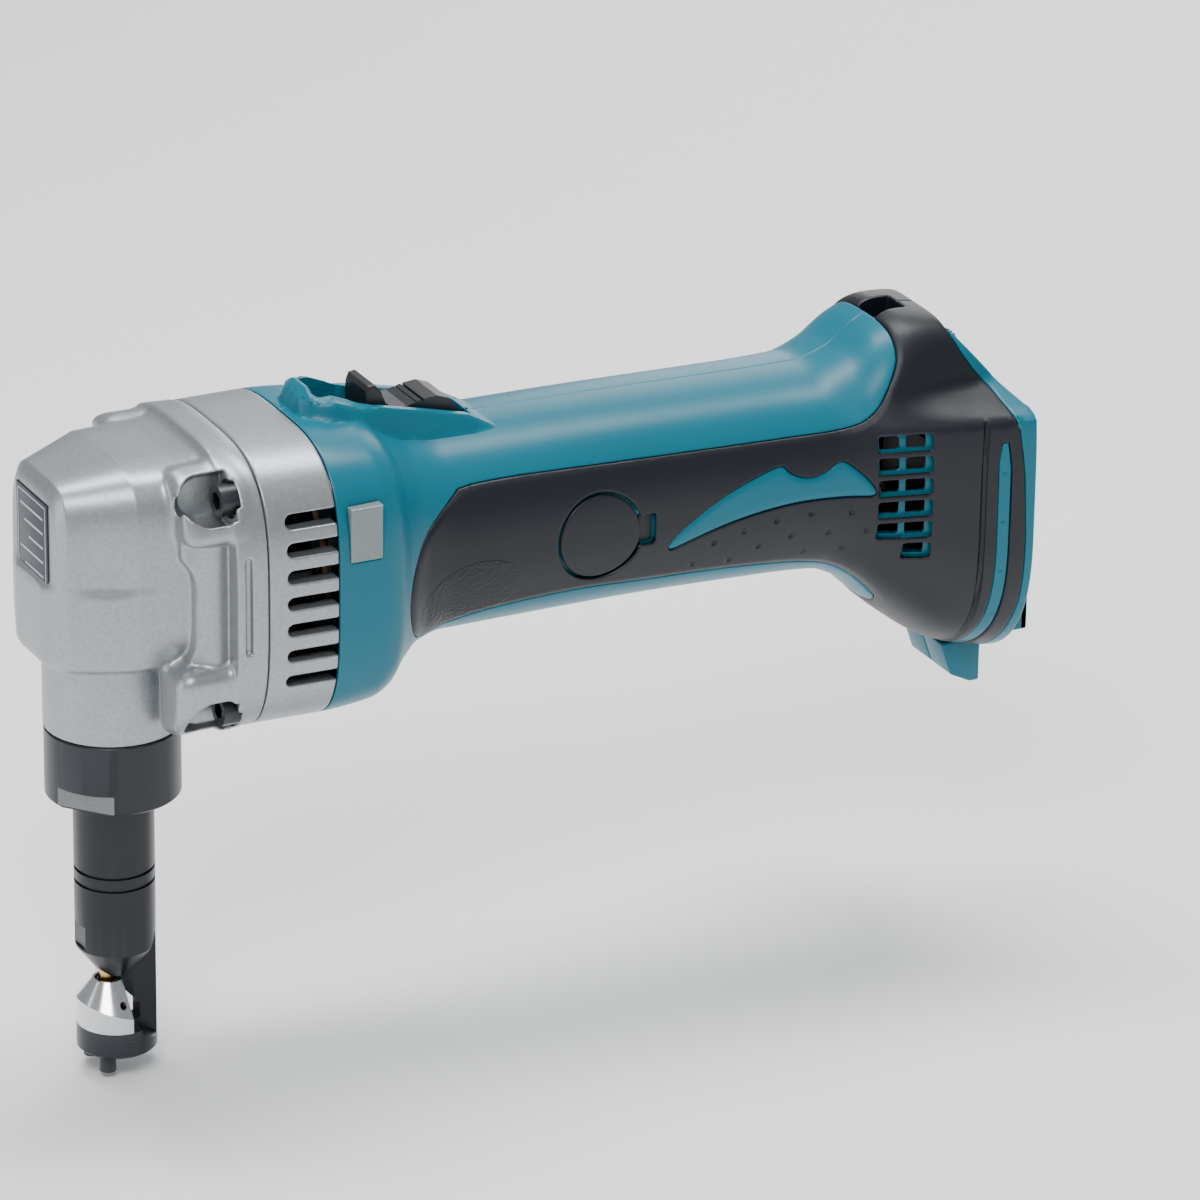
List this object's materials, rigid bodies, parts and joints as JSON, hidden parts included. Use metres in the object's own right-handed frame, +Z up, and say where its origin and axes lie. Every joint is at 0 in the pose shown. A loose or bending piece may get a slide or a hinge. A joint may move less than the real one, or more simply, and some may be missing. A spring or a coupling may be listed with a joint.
{
  "type": "cordless nibbler",
  "caption": "Cordless sheet-metal nibbler: cast gear head with a vertical die holder, round motor handle, slide switch and a battery slide mount at the back.",
  "frame": {"origin": "on the die holder's axis, level with the lower face of the lock nut", "axes": "+Z up along the die holder, +X back along the handle to the battery mount, -Y the side with the lamp"},
  "size_m": [0.276, 0.0764, 0.1804],
  "materials": {
    "cast_alloy": "satin paint over a cast surface",
    "machined_alloy": "machined",
    "label": "printed plate with plain lines",
    "black_oxide": "black oxide on turned steel",
    "polished_steel": "ground and polished",
    "gold_coating": "hard gold-coloured coating",
    "bearing_steel": "ground",
    "ground_steel": "ground",
    "bronze": "sintered",
    "seal_rubber": "matte",
    "laminations": "stacked sheet",
    "copper": "bare metal",
    "yoke_steel": "plated",
    "ferrite": "sintered",
    "carbon": "pressed",
    "spring_steel": "wire",
    "black_plastic": "fine moulded texture",
    "teal_plastic": "glossy moulded",
    "soft_grip": "satin overmould",
    "screw_steel": "black screws",
    "lens_plastic": "frosted clear plastic",
    "circuit_board": "board"
  },
  "bodies": {
    "tool_body": {"gear_housing": "cast_alloy", "gauge_plate": "label", "head_screws": "black_oxide", "motor_bracket": "cast_alloy", "bearing_plate": "machined_alloy", "slider_bush": "bronze", "holder_seal": "seal_rubber", "crank_front_bearing": "bearing_steel", "crank_rear_bearing": "bearing_steel", "motor_front_bearing": "bearing_steel", "motor_rear_bearing": "bearing_steel", "motor_yoke": "yoke_steel", "field_magnets": "ferrite", "motor_end_bell": "black_plastic", "brush_holders": "copper", "carbon_brushes": "carbon", "brush_springs": "spring_steel", "brush_caps": "black_plastic", "housing_left": "teal_plastic", "housing_right": "teal_plastic", "grip_left": "soft_grip", "grip_right": "soft_grip", "housing_screws": "screw_steel", "lamp_lens": "lens_plastic", "lamp_board": "circuit_board", "switch_unit": "black_plastic", "controller": "black_plastic", "terminal_block": "black_plastic", "terminals": "copper"},
    "nut": {"lock_nut": "black_oxide"},
    "holder": {"die_holder": "black_oxide", "die": "polished_steel", "die_bolts": "black_oxide"},
    "slider": {"punch_slider": "ground_steel"},
    "punch": {"punch": "gold_coating"},
    "crank": {"crankshaft": "ground_steel", "crank_roller": "bearing_steel", "crank_gear": "ground_steel"},
    "rotor": {"armature_shaft": "ground_steel", "armature_core": "laminations", "armature_windings": "copper", "commutator": "copper", "cooling_fan": "black_plastic", "motor_pinion": "ground_steel"},
    "switch_slide": {"switch_carriage": "black_plastic", "switch_rod": "black_plastic"},
    "switch_rocker": {"switch_lever": "black_plastic"},
    "cover_left": {"brush_cover_left": "soft_grip"},
    "cover_right": {"brush_cover_right": "soft_grip"}
  },
  "joints": [
    {"name": "holder_swivel", "type": "hinge", "parent": "tool_body", "child": "holder", "pos_m": [0, 0, 0], "axis": [0, 0, 1], "range_deg": [-90, 180]},
    {"name": "nut_turn", "type": "hinge", "parent": "tool_body", "child": "nut", "pos_m": [0, 0, 0], "axis": [0, 0, -1], "range_deg": [0, 180]},
    {"name": "crank_turn", "type": "hinge", "parent": "tool_body", "child": "crank", "pos_m": [0, 0, 0.0732], "axis": [1, 0, 0], "range_deg": [0, 180]},
    {"name": "rotor_turn", "type": "hinge", "parent": "tool_body", "child": "rotor", "pos_m": [0, 0, 0.05815], "axis": [1, 0, 0], "range_deg": [-720, 720]},
    {"name": "punch_stroke", "type": "slide", "parent": "tool_body", "child": "slider", "axis": [0, 0, -1], "range_m": [0, 0.006]},
    {"name": "punch_swivel", "type": "hinge", "parent": "slider", "child": "punch", "pos_m": [0, 0, 0], "axis": [0, 0, 1], "range_deg": [-90, 180]},
    {"name": "switch_travel", "type": "slide", "parent": "tool_body", "child": "switch_slide", "axis": [-1, 0, 0], "range_m": [0, 0.006], "stiffness_N_per_m": 120, "springref_m": -0.002},
    {"name": "switch_lock", "type": "hinge", "parent": "switch_slide", "child": "switch_rocker", "pos_m": [0.079, 0, 0.0885], "axis": [0, -1, 0], "range_deg": [0, 3], "stiffness_Nm_per_rad": 0.3, "springref_deg": -2.86},
    {"name": "cover_left_pull", "type": "slide", "parent": "tool_body", "child": "cover_left", "axis": [0, -1, 0], "range_m": [0, 0.012]},
    {"name": "cover_right_pull", "type": "slide", "parent": "tool_body", "child": "cover_right", "axis": [0, 1, 0], "range_m": [0, 0.012]}
  ],
  "couplings": [
    {"joint": "crank_turn", "follows": "punch_stroke", "rad_per_m": 523.6},
    {"joint": "rotor_turn", "follows": "punch_stroke", "rad_per_m": -1978},
    {"joint": "punch_swivel", "follows": "holder_swivel", "ratio": 1}
  ]
}
